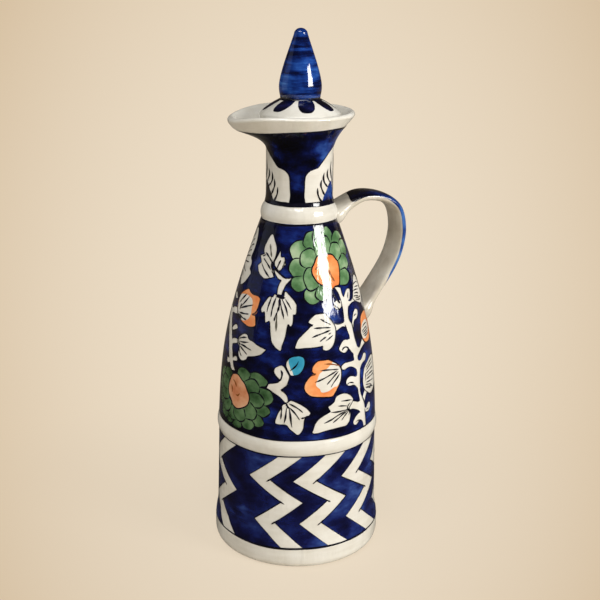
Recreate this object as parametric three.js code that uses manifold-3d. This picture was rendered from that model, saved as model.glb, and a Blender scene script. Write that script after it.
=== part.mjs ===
// A glazed pottery oil bottle: a tapered bottle with raised bands and a pouring lip, a strap handle, and a
// lift-out stopper made of a domed lid with a hollow stem, a pointed knob and a ribbed silicone gasket.
// Millimetres, +Z up. The origin is the centre of the flat foot. The lip points along -X, and the handle
// stands a few degrees round from +X.
import * as THREE from "three";
import { mergeVertices } from "three/addons/utils/BufferGeometryUtils.js";
import Module from "manifold-3d";

const wasm = await Module();
wasm.setup();

// Driving dimensions of the bottle, from the foot up.
const WALL = 4;
const FOOT_RADIUS = 44;
const FOOT_BAND_HEIGHT = 12;
const FOOT_EDGE_ROUND = 3.5;
const FOOT_FLOOR = 6;
const FLOOR_ROUND = 6.5;
const SKIRT_LOW_RADIUS = 42.4;
const SKIRT_LOW_Z = 18;
const WAIST_RADIUS = 41.3;
const WAIST_BAND_Z = 61.7;
const WAIST_BAND_HEIGHT = 7.8;
const NECK_BAND_Z = 174.4;
const NECK_BAND_HEIGHT = 7.4;
const NECK_BAND_RADIUS = 18.9;
const BAND_PROUD = 0.9;
const NECK_RADIUS = 16.6;
const NECK_TOP_Z = 208;

// How the body swells between the waist and the neck band: where its curve's two handles stand.
const BELLY_DRAW_IN = 1.5;
const BELLY_RISE = 38;
const SHOULDER_FULLNESS = 18;
const SHOULDER_DROP = 50;

// Driving dimensions of the mouth.
const FLARE_HEIGHT = 19.6;
const RIM_RADIUS = 26.8;
const RIM_ROUND = 3.8;
const RIM_EDGE_HEIGHT = 3.6;
const RIM_TILT = 1;
const FLARE_FOOT = 4;
const LIP_START = 1;
const LIP_FULL_BELOW_RIM = 4.8;
const LIP_REACH = 8.7;
const LIP_DROP = 3.3;
const LIP_NARROWNESS = 3.5;
const DIP_NARROWNESS = 5.1;

// Driving dimensions of the handle. The path gives, from root to root, shares of its reach and its height.
const HANDLE_TURN = 12;
const HANDLE_REACH = 55.4;
const HANDLE_TOP_Z = 183;
const HANDLE_ROOT_Z = 123;
const HANDLE_WIDTH = 16.8;
const HANDLE_THICKNESS = 4.8;
const HANDLE_SQUARENESS = 0.75;
const HANDLE_ROOT_DEPTH = 5.7;
const HANDLE_ROOT_GROWTH = 1.2;
const HANDLE_ROOT_SHARE = 0.1;
const HANDLE_PATH = [
  [0.19, 0.95],
  [0.38, 0.997],
  [0.57, 0.997],
  [0.775, 0.96],
  [0.93, 0.877],
  [1, 0.7],
  [0.962, 0.53],
  [0.875, 0.395],
];

// Driving dimensions of the stopper.
const LID_SEAT_RADIUS = 18.4;
const LID_RADIUS = 20.2;
const LID_EDGE_HEIGHT = 4.6;
const LID_TOP = 5;
const LID_CROWN = 5;
const KNOB_HEIGHT = 33.1;
const KNOB_RADIUS = 10.4;
const KNOB_BASE_RADIUS = 9.6;
const KNOB_FOOT_RISE = 3;
const KNOB_BELLY_SHARE = 0.17;
const KNOB_TIP_RADIUS = 3.1;
const KNOB_TIP_ROUND = 1.8;
const KNOB_TIP_RUN = 2.8;
const STEM_RADIUS = 9.6;
const STEM_BORE = 6;
const STEM_LENGTH = 36;
const STEM_CHAMFER = 1.2;
const STEM_FILLET = 2;
const GASKET_HEIGHT = 16;
const GASKET_ABOVE_STEM_END = 4;
const GASKET_GROOVE_DEPTH = 1.2;
const GASKET_WALL = 1.6;
const GASKET_FINS = 3;
const FIN_SHARES = [0.3, 0.5, 0.64, 0.8];

// Gap between pieces that touch, and how finely round forms are cut.
const CLEARANCE = 0.3;
const BODY_STEPS = 40;
const STOPPER_STEPS = 48;
const HANDLE_RINGS = 36;
const HANDLE_AROUND = 12;

const v2 = (r, z) => new THREE.Vector2(r, z);
const bend = (a, b, c, steps) => ({ curve: new THREE.QuadraticBezierCurve(a, b, c), steps });
const sweep = (a, b, c, d, steps) => ({ curve: new THREE.CubicBezierCurve(a, b, c, d), steps });

// Points along a list of path pieces, each a curve or a single point, without repeats.
function profile(pieces) {
  const points = [];
  for (const piece of pieces) {
    const added = piece.isVector2 ? [piece] : piece.curve.getPoints(piece.steps);
    for (const p of added) {
      const last = points[points.length - 1];
      if (!last || last.distanceTo(p) > 0.01) points.push(p);
    }
  }
  return points;
}

// Radius of a profile at one height.
function radiusAt(points, z) {
  for (let i = 1; i < points.length; i++) {
    const [a, b] = [points[i - 1], points[i]];
    if ((a.y <= z && z <= b.y) || (b.y <= z && z <= a.y)) {
      return a.x + ((b.x - a.x) * (z - a.y)) / (b.y - a.y || 1);
    }
  }
  return points[points.length - 1].x;
}

// Height of a profile at one radius.
function heightAt(points, r) {
  return radiusAt(points.map((p) => v2(p.y, p.x)), r);
}

// Places worked out from the driving dimensions.
const SOLE_RADIUS = FOOT_RADIUS - FOOT_EDGE_ROUND;
const FOOT_BAND_TOP = FOOT_BAND_HEIGHT + FOOT_EDGE_ROUND / 2;
const WAIST_BAND_TOP = WAIST_BAND_Z + WAIST_BAND_HEIGHT;
const NECK_BAND_TOP = NECK_BAND_Z + NECK_BAND_HEIGHT;
const BORE_RADIUS = NECK_RADIUS - WALL;
const RIM_Z = NECK_TOP_Z + FLARE_HEIGHT;
const RIM_LOW = v2(RIM_RADIUS - BAND_PROUD, RIM_Z - RIM_EDGE_HEIGHT);
const RIM_TOP = v2(RIM_RADIUS - BAND_PROUD / 2, RIM_Z - BAND_PROUD);
const RIM_INSIDE = v2(RIM_RADIUS - RIM_ROUND, RIM_Z - 0.4 * RIM_ROUND);

const flareOuter = sweep(
  v2(NECK_RADIUS, NECK_TOP_Z),
  v2(NECK_RADIUS, NECK_TOP_Z + 1.5 * FLARE_FOOT),
  v2(RIM_RADIUS - 1.2 * RIM_ROUND, RIM_Z - 2.3 * RIM_EDGE_HEIGHT),
  RIM_LOW,
  10,
);
const flareInner = sweep(
  RIM_INSIDE,
  v2(RIM_RADIUS - 2.2 * RIM_ROUND, RIM_Z - 1.65 * RIM_ROUND),
  v2(BORE_RADIUS, NECK_TOP_Z + 2.1 * FLARE_FOOT),
  v2(BORE_RADIUS, NECK_TOP_Z + FLARE_FOOT / 4),
  9,
);

// The body's curve from the waist to the neck band, drawn in by an inset for the inside.
const bodySweep = (inset, steps) =>
  sweep(
    v2(WAIST_RADIUS - inset, WAIST_BAND_TOP),
    v2(WAIST_RADIUS - BELLY_DRAW_IN - inset, WAIST_BAND_TOP + BELLY_RISE),
    v2(NECK_BAND_RADIUS + SHOULDER_FULLNESS - inset, NECK_BAND_Z - SHOULDER_DROP),
    v2(NECK_BAND_RADIUS - inset, NECK_BAND_Z),
    steps,
  );

// The outside up to the rim. The neck starts in a small cove above its band.
const COVE = 0.6;
const outerProfile = profile([
  v2(SOLE_RADIUS, 0),
  bend(v2(SOLE_RADIUS, 0), v2(FOOT_RADIUS, 0), v2(FOOT_RADIUS, 1.3 * FOOT_EDGE_ROUND), 4),
  bend(
    v2(FOOT_RADIUS, FOOT_BAND_HEIGHT - FOOT_EDGE_ROUND),
    v2(FOOT_RADIUS - BAND_PROUD / 4, FOOT_BAND_TOP),
    v2(SKIRT_LOW_RADIUS, SKIRT_LOW_Z),
    4,
  ),
  bend(
    v2(WAIST_RADIUS, WAIST_BAND_Z),
    v2(WAIST_RADIUS + 2 * BAND_PROUD, WAIST_BAND_Z + WAIST_BAND_HEIGHT / 2),
    v2(WAIST_RADIUS, WAIST_BAND_TOP),
    5,
  ),
  bodySweep(0, 16),
  bend(
    v2(NECK_BAND_RADIUS, NECK_BAND_Z),
    v2(NECK_BAND_RADIUS + 1.4 * BAND_PROUD, NECK_BAND_Z + NECK_BAND_HEIGHT / 2),
    v2(NECK_RADIUS + 1.5 * COVE, NECK_BAND_TOP),
    5,
  ),
  bend(
    v2(NECK_RADIUS + COVE, NECK_BAND_TOP + COVE),
    v2(NECK_RADIUS, NECK_BAND_TOP + 3 * COVE),
    v2(NECK_RADIUS, NECK_BAND_TOP + 10 * COVE),
    2,
  ),
  flareOuter,
]);

const rimProfile = profile([
  bend(RIM_LOW, v2(RIM_RADIUS + BAND_PROUD / 2, RIM_Z - RIM_ROUND / 2), RIM_TOP, 3),
  bend(RIM_TOP, v2(RIM_RADIUS - RIM_ROUND / 2, RIM_Z + BAND_PROUD / 2), RIM_INSIDE, 4),
]);

const innerBody = bodySweep(WALL, 10).curve.getPoints(10).reverse();
const innerProfile = profile([
  flareInner,
  v2(BORE_RADIUS, NECK_BAND_TOP),
  { curve: new THREE.SplineCurve(innerBody), steps: 10 },
  v2(WAIST_RADIUS - WALL, WAIST_BAND_Z),
  v2(SKIRT_LOW_RADIUS - WALL, SKIRT_LOW_Z),
  bend(
    v2(SKIRT_LOW_RADIUS - WALL, FOOT_FLOOR + FLOOR_ROUND),
    v2(SKIRT_LOW_RADIUS - WALL, FOOT_FLOOR),
    v2(SKIRT_LOW_RADIUS - WALL - FLOOR_ROUND, FOOT_FLOOR),
    3,
  ),
]);

// Pulls the flare out to a pouring lip along -X that dips, and lets the rim lie a little low in front.
function pullLip(geometry) {
  const position = geometry.getAttribute("position");
  const fullAt = RIM_Z - LIP_FULL_BELOW_RIM;
  for (let i = 0; i < position.count; i++) {
    const [x, y, z] = [position.getX(i), position.getY(i), position.getZ(i)];
    const radius = Math.hypot(x, y);
    const rise = THREE.MathUtils.smoothstep(z, NECK_TOP_Z + LIP_START, fullAt);
    if (radius < 1e-6 || rise === 0) continue;
    const facing = Math.max(0, -x / radius);
    const pulled = (radius + LIP_REACH * rise * facing ** LIP_NARROWNESS) / radius;
    const dip = LIP_DROP * rise * rise * facing ** DIP_NARROWNESS;
    const edge = THREE.MathUtils.smoothstep(z, fullAt + LIP_START, RIM_Z - BAND_PROUD);
    const tilted = RIM_TILT * edge * (y / radius);
    position.setXYZ(i, x * pulled, y * pulled, z - dip + tilted);
  }
  return geometry;
}

// A closed turned solid: the profile runs up the outside, and is turned to stand along +Z.
function turned(points, steps) {
  return new THREE.LatheGeometry(points, steps).rotateX(Math.PI / 2);
}

// A manifold-3d solid from three.js geometry.
function toSolid(geometry) {
  const bare = new THREE.BufferGeometry();
  const loose = geometry.index ? geometry.toNonIndexed() : geometry;
  bare.setAttribute("position", loose.getAttribute("position").clone());
  const merged = mergeVertices(bare, 1e-3);
  const mesh = new wasm.Mesh({
    numProp: 3,
    vertProperties: new Float32Array(merged.getAttribute("position").array),
    triVerts: new Uint32Array(merged.index.array),
  });
  return new wasm.Manifold(mesh);
}

// three.js geometry from a manifold-3d solid.
function toGeometry(solid) {
  const mesh = solid.getMesh();
  const corners = new Float32Array(mesh.numVert * 3);
  for (let i = 0; i < mesh.numVert; i++) {
    const start = i * mesh.numProp;
    corners.set(mesh.vertProperties.subarray(start, start + 3), i * 3);
  }
  const geometry = new THREE.BufferGeometry();
  geometry.setAttribute("position", new THREE.BufferAttribute(corners, 3));
  geometry.setIndex(new THREE.BufferAttribute(mesh.triVerts, 1));
  geometry.computeVertexNormals();
  return geometry;
}

// The bottle: foot, skirt, waist band, shoulder, neck band, neck and lipped mouth, with an even wall.
function bottleGeometry() {
  const outside = [v2(0, 0), ...outerProfile, ...rimProfile.slice(1)];
  const inside = [...innerProfile.slice(1), v2(0, FOOT_FLOOR)];
  return pullLip(turned([...outside, ...inside], BODY_STEPS));
}

// The bottle's outside as one solid, grown by a gap, for trimming the handle's roots.
function bottleOutside(gap) {
  const points = outerProfile.map((p) => v2(p.x + gap, p.y));
  const top = points[points.length - 1].y;
  return turned([v2(0, 0), ...points, v2(0, top)], BODY_STEPS);
}

// The handle's centre line in the XZ plane. Both ends lie well inside the bottle's outside.
function handleLine() {
  const rootRadius = radiusAt(outerProfile, HANDLE_ROOT_Z);
  const reach = HANDLE_REACH - NECK_BAND_RADIUS;
  const height = HANDLE_TOP_Z - HANDLE_ROOT_Z;
  const middle = HANDLE_PATH.map(
    ([out, up]) => new THREE.Vector3(NECK_BAND_RADIUS + out * reach, 0, HANDLE_ROOT_Z + up * height),
  );
  const points = [
    new THREE.Vector3(NECK_BAND_RADIUS - HANDLE_ROOT_DEPTH, 0, NECK_BAND_Z - 5 * COVE),
    ...middle,
    new THREE.Vector3(rootRadius + 1.2 * HANDLE_ROOT_DEPTH, 0, HANDLE_ROOT_Z + height / 6),
    new THREE.Vector3(rootRadius - HANDLE_ROOT_DEPTH, 0, HANDLE_ROOT_Z - height / 8),
  ];
  return new THREE.CatmullRomCurve3(points, false, "centripetal");
}

// The strap handle: a rounded flat section carried along its line, a little stouter at both roots.
function handleGeometry() {
  const line = handleLine();
  const squared = (v) => Math.sign(v) * Math.abs(v) ** HANDLE_SQUARENESS;
  const corners = [];
  const faces = [];
  for (let i = 0; i <= HANDLE_RINGS; i++) {
    const t = i / HANDLE_RINGS;
    const centre = line.getPointAt(t);
    const along = line.getTangentAt(t);
    const outward = new THREE.Vector3(-along.z, 0, along.x);
    const near = Math.min(t, 1 - t) / HANDLE_ROOT_SHARE;
    const growth = HANDLE_ROOT_GROWTH * Math.exp(-(near ** 2));
    const halfThick = HANDLE_THICKNESS / 2 + growth;
    const halfWide = HANDLE_WIDTH / 2 + growth;
    for (let k = 0; k < HANDLE_AROUND; k++) {
      const a = (2 * Math.PI * k) / HANDLE_AROUND;
      const p = centre.clone().addScaledVector(outward, halfThick * squared(Math.sin(a)));
      corners.push(p.x, halfWide * squared(Math.cos(a)), p.z);
    }
  }
  for (let i = 0; i < HANDLE_RINGS; i++) {
    for (let k = 0; k < HANDLE_AROUND; k++) {
      const a = i * HANDLE_AROUND + k;
      const b = i * HANDLE_AROUND + ((k + 1) % HANDLE_AROUND);
      faces.push(a, b, a + HANDLE_AROUND, b, b + HANDLE_AROUND, a + HANDLE_AROUND);
    }
  }
  const last = HANDLE_RINGS * HANDLE_AROUND;
  for (let k = 1; k < HANDLE_AROUND - 1; k++) {
    faces.push(0, k + 1, k);
    faces.push(last, last + k, last + k + 1);
  }
  const strap = new THREE.BufferGeometry();
  strap.setAttribute("position", new THREE.Float32BufferAttribute(corners, 3));
  strap.setIndex(faces);
  const trimmed = toGeometry(toSolid(strap).subtract(toSolid(bottleOutside(CLEARANCE))));
  return trimmed.rotateZ(THREE.MathUtils.degToRad(HANDLE_TURN));
}

// Heights of the stopper, worked out from where the lid's edge meets the flare.
const LID_Z = heightAt(flareInner.curve.getPoints(40), LID_SEAT_RADIUS) + CLEARANCE;
const KNOB_Z = RIM_Z + LID_TOP;
const STEM_END = LID_Z - STEM_LENGTH;
const GROOVE_LOW = STEM_END + GASKET_ABOVE_STEM_END;
const GROOVE_HIGH = GROOVE_LOW + GASKET_HEIGHT + 2 * CLEARANCE;
const GROOVE_RADIUS = STEM_RADIUS - GASKET_GROOVE_DEPTH;

// The lid: a dome on a thick round edge, with a hollow stem that has a groove for the gasket.
function lidGeometry() {
  const edgeTop = v2(LID_RADIUS - BAND_PROUD, LID_Z + LID_EDGE_HEIGHT);
  const domeHandle = v2((LID_RADIUS + KNOB_BASE_RADIUS) / 2, KNOB_Z - 0.45 * LID_CROWN);
  return turned(
    profile([
      v2(STEM_BORE, STEM_END),
      v2(STEM_RADIUS - STEM_CHAMFER, STEM_END),
      v2(STEM_RADIUS, STEM_END + STEM_CHAMFER),
      v2(STEM_RADIUS, GROOVE_LOW),
      v2(GROOVE_RADIUS, GROOVE_LOW),
      v2(GROOVE_RADIUS, GROOVE_HIGH),
      v2(STEM_RADIUS, GROOVE_HIGH),
      bend(
        v2(STEM_RADIUS, LID_Z - STEM_FILLET),
        v2(STEM_RADIUS, LID_Z),
        v2(STEM_RADIUS + STEM_FILLET, LID_Z),
        3,
      ),
      v2(LID_SEAT_RADIUS, LID_Z),
      bend(
        v2(LID_SEAT_RADIUS + BAND_PROUD, LID_Z + LID_EDGE_HEIGHT / 3),
        v2(LID_RADIUS + BAND_PROUD / 2, LID_Z + LID_EDGE_HEIGHT - BAND_PROUD),
        edgeTop,
        5,
      ),
      bend(edgeTop, domeHandle, v2(KNOB_BASE_RADIUS, KNOB_Z), 6),
      v2(0, KNOB_Z),
      v2(0, LID_Z + LID_CROWN),
      bend(
        v2(0, LID_Z + LID_CROWN),
        v2(STEM_BORE, LID_Z + LID_CROWN),
        v2(STEM_BORE, LID_Z - STEM_FILLET),
        4,
      ),
      v2(STEM_BORE, STEM_END),
    ]),
    STOPPER_STEPS,
  );
}

// The knob: a pointed bud, widest near its foot.
function knobGeometry() {
  const belly = KNOB_Z + KNOB_BELLY_SHARE * KNOB_HEIGHT;
  const tip = KNOB_Z + KNOB_HEIGHT;
  const tipEdge = v2(KNOB_TIP_RADIUS, tip - KNOB_TIP_ROUND);
  return turned(
    profile([
      v2(0, KNOB_Z),
      v2(KNOB_BASE_RADIUS - CLEARANCE, KNOB_Z),
      bend(
        v2(KNOB_BASE_RADIUS, KNOB_Z + KNOB_FOOT_RISE / 5),
        v2(KNOB_RADIUS, KNOB_Z + KNOB_FOOT_RISE),
        v2(KNOB_RADIUS, belly),
        4,
      ),
      sweep(
        v2(KNOB_RADIUS, belly),
        v2(KNOB_RADIUS, belly + KNOB_HEIGHT / 5),
        v2(1.15 * KNOB_TIP_RADIUS, tip - KNOB_TIP_ROUND - KNOB_TIP_RUN),
        tipEdge,
        10,
      ),
      bend(tipEdge, v2(0.65 * KNOB_TIP_RADIUS, tip), v2(0, tip), 4),
    ]),
    STOPPER_STEPS,
  );
}

// The gasket: a thin sleeve in the stem's groove, with soft fins that press on the neck's bore.
function gasketGeometry() {
  const low = GROOVE_LOW + CLEARANCE;
  const inner = GROOVE_RADIUS + CLEARANCE;
  const sleeve = inner + GASKET_WALL;
  const fin = BORE_RADIUS - CLEARANCE;
  const pitch = GASKET_HEIGHT / GASKET_FINS;
  const points = [v2(inner, low), v2(sleeve, low)];
  for (let i = 0; i < GASKET_FINS; i++) {
    const z = low + i * pitch;
    FIN_SHARES.forEach((share, k) => points.push(v2(k === 0 || k === 3 ? sleeve : fin, z + share * pitch)));
  }
  points.push(v2(sleeve, low + GASKET_HEIGHT), v2(inner, low + GASKET_HEIGHT), v2(inner, low));
  return turned(points, STOPPER_STEPS);
}

function piece(name, geometry, colour, roughness) {
  const material = new THREE.MeshStandardMaterial({ color: colour, roughness, metalness: 0 });
  const mesh = new THREE.Mesh(geometry, material);
  mesh.name = name;
  return mesh;
}

const COBALT = 0x1b2a78;
const CREAM = 0xe8e4d8;
const BRUSHED_BLUE = 0x1c3f96;
const SILICONE = 0xdad8d2;
const GLAZE_ROUGHNESS = 0.15;
const SILICONE_ROUGHNESS = 0.5;

const oilBottle = new THREE.Group();
oilBottle.add(
  piece("bottle_body", bottleGeometry(), COBALT, GLAZE_ROUGHNESS),
  piece("handle", handleGeometry(), CREAM, GLAZE_ROUGHNESS),
  piece("stopper_lid", lidGeometry(), CREAM, GLAZE_ROUGHNESS),
  piece("stopper_knob", knobGeometry(), BRUSHED_BLUE, GLAZE_ROUGHNESS),
  piece("stopper_gasket", gasketGeometry(), SILICONE, SILICONE_ROUGHNESS),
);

export default oilBottle;
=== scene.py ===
import math

import bpy
import numpy as np
from mathutils import Matrix, Vector
from mathutils.geometry import delaunay_2d_cdt


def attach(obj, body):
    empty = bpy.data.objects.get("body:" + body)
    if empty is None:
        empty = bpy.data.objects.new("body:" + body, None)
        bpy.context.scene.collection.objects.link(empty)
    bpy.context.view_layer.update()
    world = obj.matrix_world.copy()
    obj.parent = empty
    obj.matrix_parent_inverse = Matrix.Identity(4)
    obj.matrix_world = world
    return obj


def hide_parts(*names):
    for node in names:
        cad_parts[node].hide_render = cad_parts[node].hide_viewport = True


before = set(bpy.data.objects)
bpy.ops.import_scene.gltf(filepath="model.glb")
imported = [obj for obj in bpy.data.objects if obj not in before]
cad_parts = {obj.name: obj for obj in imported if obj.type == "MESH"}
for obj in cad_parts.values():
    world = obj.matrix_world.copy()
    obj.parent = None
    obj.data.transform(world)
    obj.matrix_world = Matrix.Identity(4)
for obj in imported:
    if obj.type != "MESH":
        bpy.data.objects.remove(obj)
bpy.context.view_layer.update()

MM = 0.001
FRONT = -99.9  # degrees from +X to the side of the bottle that faces the camera
SEAM = -90.0  # where the unrolled painting begins, in degrees from the front
PAINT_LIFT, WASH_LIFT, INK_LIFT = 0.08, 0.10, 0.13
DEGREE = 0.65  # millimetres in a degree round the middle of the bottle
ON_TOP = 99  # for brush lines that no painted shape covers
NECK_LEAVES = (-93.5, 86.5, 266.5)

scene = bpy.context.scene
scene.view_settings.view_transform = "Standard"


# ---- shapes shared with the CAD, in millimetres ----


def curve(points, steps):
    """A Bezier curve of any order, sampled evenly in its parameter."""
    p = np.array(points, float)
    n = len(p) - 1
    t = np.linspace(0, 1, steps + 1)[:, None]
    return sum(math.comb(n, i) * t**i * (1 - t) ** (n - i) * p[i] for i in range(n + 1))


def path(*pieces):
    """Joins sampled pieces, without repeats."""
    out = []
    for piece in pieces:
        for q in np.atleast_2d(np.array(piece, float)):
            if not out or np.hypot(*(q - out[-1])) > 0.01:
                out.append(q)
    return np.array(out)


OUTER = path(
    curve([(40.5, 0), (43.85, 0), (43.85, 4.5)], 10),
    curve([(43.85, 8.5), (43.7, 13.75), (42.4, 18)], 12),
    curve([(42.4, 18), (41.3, 61.7)], 16),
    curve([(41.3, 61.7), (43.1, 65.6), (41.3, 69.5)], 12),
    curve([(41.3, 69.5), (39.8, 107.5), (36.9, 124.4), (18.9, 174.4)], 60),
    curve([(18.9, 174.4), (20.16, 178.1), (17.5, 181.8)], 12),
    curve([(17.2, 182.4), (16.6, 183.6), (16.6, 187.8)], 6),
    curve([(16.6, 187.8), (16.6, 208)], 10),
    curve([(16.6, 208), (16.6, 214), (22.24, 219.32), (25.9, 224.0)], 26),
)
RIM = path(
    curve([(25.9, 224.0), (27.25, 225.7), (26.35, 226.7)], 10),
    curve([(26.35, 226.7), (24.9, 228.05), (23.0, 226.08)], 12),
)
FLARE_INNER = curve([(23.0, 226.08), (18.44, 221.33), (12.6, 216.4), (12.6, 209)], 24)
INNER = path(
    FLARE_INNER,
    (12.6, 181.8),
    curve([(37.3, 69.5), (35.8, 107.5), (32.9, 124.4), (14.9, 174.4)], 30)[::-1],
    (37.3, 61.7),
    (38.4, 18),
    curve([(38.4, 12), (38.4, 6), (31.4, 6)], 8),
)

LIP_LOW, LIP_HIGH = 209, 222.8  # the lip is drawn out between these heights
LIP_REACH, LIP_DIP = 8.7, 3.3
RIM_LOW, RIM_HIGH = 223.8, 226.7


def outer_radius(z):
    return np.interp(z, OUTER[:, 1], OUTER[:, 0])


def smoothstep(x, low, high):
    t = np.clip((x - low) / (high - low), 0, 1)
    return t * t * (3 - 2 * t)


def pull_lip(p):
    """Draws the flare out to a lip along -X that dips, and lets the rim lie a little low in front."""
    r = np.hypot(p[:, 0], p[:, 1])
    rise = smoothstep(p[:, 2], LIP_LOW, LIP_HIGH)
    safe = np.maximum(r, 1e-6)
    facing = np.maximum(0, -p[:, 0] / safe)
    grow = np.where(r > 1e-6, (r + LIP_REACH * rise * facing**3.5) / safe, 1)
    tilted = smoothstep(p[:, 2], RIM_LOW, RIM_HIGH) * p[:, 1] / safe
    return np.column_stack([p[:, 0] * grow, p[:, 1] * grow, p[:, 2] - LIP_DIP * rise**2 * facing**5.1 + tilted])


def turned(angle, r, z):
    """Points at an angle from the front, a radius and a height."""
    a = np.radians(np.asarray(angle) + FRONT)
    return np.column_stack([r * np.cos(a), r * np.sin(a), z])


def body_surface(angle, z):
    return pull_lip(turned(angle, outer_radius(z), z))


def normals_of(surface, u, v):
    """Outward normals of a surface given as a function of angle and a second coordinate."""
    du = surface(u + 0.05, v) - surface(u - 0.05, v)
    dv = surface(u, v + 0.05) - surface(u, v - 0.05)
    n = np.cross(du, dv)
    return n / np.maximum(np.linalg.norm(n, axis=1), 1e-9)[:, None]


# ---- making pieces ----


def link(name, data):
    """Puts an object into the scene."""
    obj = bpy.data.objects.new(name, data)
    scene.collection.objects.link(obj)
    return obj


def piece(name, points, faces, material, body, slot, normals=None, replaces=()):
    """A smooth mesh piece from points in millimetres."""
    mesh = bpy.data.meshes.new(name)
    mesh.from_pydata([tuple(p) for p in np.asarray(points) * MM], [], faces)
    mesh.polygons.foreach_set("use_smooth", [True] * len(mesh.polygons))
    if normals is not None:
        mesh.normals_split_custom_set_from_vertices([tuple(n) for n in normals])
    mesh.materials.append(material)
    mesh.update()
    obj = link(name, mesh)
    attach(obj, body)
    if replaces:
        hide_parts(*replaces)
    return obj


def lathe(profile, steps):
    """Points and faces of a turned solid. A profile point on the axis becomes one vertex."""
    points, faces, rows = [], [], []
    angles = np.radians(np.arange(steps) * 360 / steps)
    for r, z in profile:
        on_axis = r < 1e-6
        rows.append([len(points) + (0 if on_axis else k) for k in range(steps)])
        points += [(0, 0, z)] if on_axis else [(r * math.cos(a), r * math.sin(a), z) for a in angles]
    for low, high in zip(rows, rows[1:]):
        for k in range(steps):
            j = (k + 1) % steps
            loop = [low[k], low[j], high[j], high[k]]
            face = [v for i, v in enumerate(loop) if v != loop[i - 1]]
            if len(face) > 2:
                faces.append(face)
    return np.array(points, float), faces


# ---- materials ----


def fill(node, inputs):
    """Sets a node's inputs: each to a value, or by a link to another node's output."""
    for name, value in inputs.items():
        if isinstance(value, bpy.types.NodeSocket):
            node.id_data.links.new(value, node.inputs[name])
        else:
            node.inputs[name].default_value = value


def add(tree, kind, output, inputs=None, **settings):
    """Adds a shader node, and returns one of its outputs."""
    node = tree.nodes.new("ShaderNode" + kind)
    for name, value in settings.items():
        setattr(node, name, value)
    fill(node, inputs or {})
    return node.outputs[output]


def calc(tree, operation, a, b):
    return add(tree, "Math", "Value", {0: a, 1: b}, operation=operation)


def dot(tree, a, b):
    return add(tree, "VectorMath", "Value", {0: a, 1: b}, operation="DOT_PRODUCT")


def remap(tree, value, low, high, new_low, new_high):
    limits = {"From Min": low, "From Max": high, "To Min": new_low, "To Max": new_high}
    return add(tree, "MapRange", "Result", {"Value": value, **limits})


def noise(tree, place, scale, detail, roughness=0.5):
    """Noise whose scale is one number, or frequencies along x, y and z."""
    if isinstance(scale, tuple):
        place, scale = add(tree, "Mapping", "Vector", {"Vector": place, "Scale": scale}), 1.0
    return add(tree, "TexNoise", "Fac", {"Vector": place, "Scale": scale, "Detail": detail, "Roughness": roughness})


def glaze(name, tones, stretch=(30, 30, 260), streak=0.5, roughness=0.09, bump=0.04, blotch=95, painted_shade_tilt=(0, 0, 0)):
    """A glossy glaze whose colour runs through the tones as brushed streaks and soft blotches.

    tones: a position with linear red, green and blue for each, from thick to thin paint, parted by bars.
    stretch: the streaks' frequency along x, y and z. streak: their share beside the blotches.
    painted_shade_tilt: how fast the colour runs from dark to light along x, y and z, per metre, as painted shade on one
    side and painted light on the other.
    """
    tones = [[float(n) for n in tone.split()] for tone in tones.split("|")]
    m = bpy.data.materials.new(name)
    m.use_nodes = True
    tree = m.node_tree
    place = add(tree, "TexCoord", "Object")
    layers = {"Factor": 1 - streak, "A": noise(tree, place, stretch, 5, 0.6), "B": noise(tree, place, blotch, 3)}
    brushed = add(tree, "Mix", "Result", layers, data_type="FLOAT")
    # The tilt is added to the streaks and blotches, so the glaze is darker on one side and lighter on the other:
    # painted shade and painted light.
    colour = add(tree, "ValToRGB", "Color", {"Fac": calc(tree, "ADD", brushed, dot(tree, place, painted_shade_tilt))})
    ramp = colour.node.color_ramp
    ramp.interpolation = "B_SPLINE"
    while len(ramp.elements) < len(tones):
        ramp.elements.new(0.5)
    for stop, (position, *rgb) in zip(ramp.elements, tones):
        stop.position = position
        stop.color = (*rgb, 1)
    dull = remap(tree, noise(tree, place, 700, 2), 0.35, 0.75, roughness * 0.7, roughness * 1.6)
    upright_ripples = noise(tree, place, (330, 330, 60), 2)
    relief = add(tree, "Bump", "Normal", {"Height": upright_ripples, "Strength": 0.7, "Distance": bump * MM * 10})
    fill(tree.nodes["Principled BSDF"], {"Base Color": colour, "Roughness": dull, "Normal": relief, "IOR": 1.7})
    return m


CREAM = glaze(
    "cream_glaze", ".25 .62 .58 .49 | .5 .76 .73 .65 | .75 .84 .82 .76", roughness=0.10)
# The handle's glaze is the body's cream made darker and browner all over: painted shade on the handle.
SHADED_HANDLE_CREAM = glaze(
    "shaded_handle_cream_glaze", stretch=(60, 60, 90), roughness=0.10,
    tones=".3 .46 .40 .31 | .5 .62 .57 .47 | .7 .74 .70 .61")
INK = glaze(
    "ink_glaze", ".3 .002 .002 .004 | .55 .004 .004 .010 | .75 .012 .012 .04", roughness=0.10)
BROWN = glaze("brown_ink_glaze", ".3 .16 .04 .01 | .7 .34 .12 .03")
WASH = glaze("grey_wash_glaze", ".3 .05 .045 .03 | .7 .16 .15 .12")
BRUSHED_BLUE = glaze(
    "brushed_blue_glaze", stretch=(35, 35, 330), streak=0.65, roughness=0.06, bump=0.022, blotch=130,
    tones=".39 .001 .0018 .018 | .45 .002 .009 .075 | .52 .007 .038 .23 | .60 .02 .09 .38 | .70 .08 .23 .56")
SILICONE = glaze("silicone", ".3 .50 .49 .45 | .7 .64 .63 .59", roughness=0.38, bump=0.01)
fill(SILICONE.node_tree.nodes["Principled BSDF"], {"Subsurface Weight": 0.15})
BROAD = dict(stretch=(75, 75, 190), streak=0.45, roughness=0.08, blotch=62)
FINE = dict(stretch=(120, 120, 120), streak=0.4)
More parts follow.
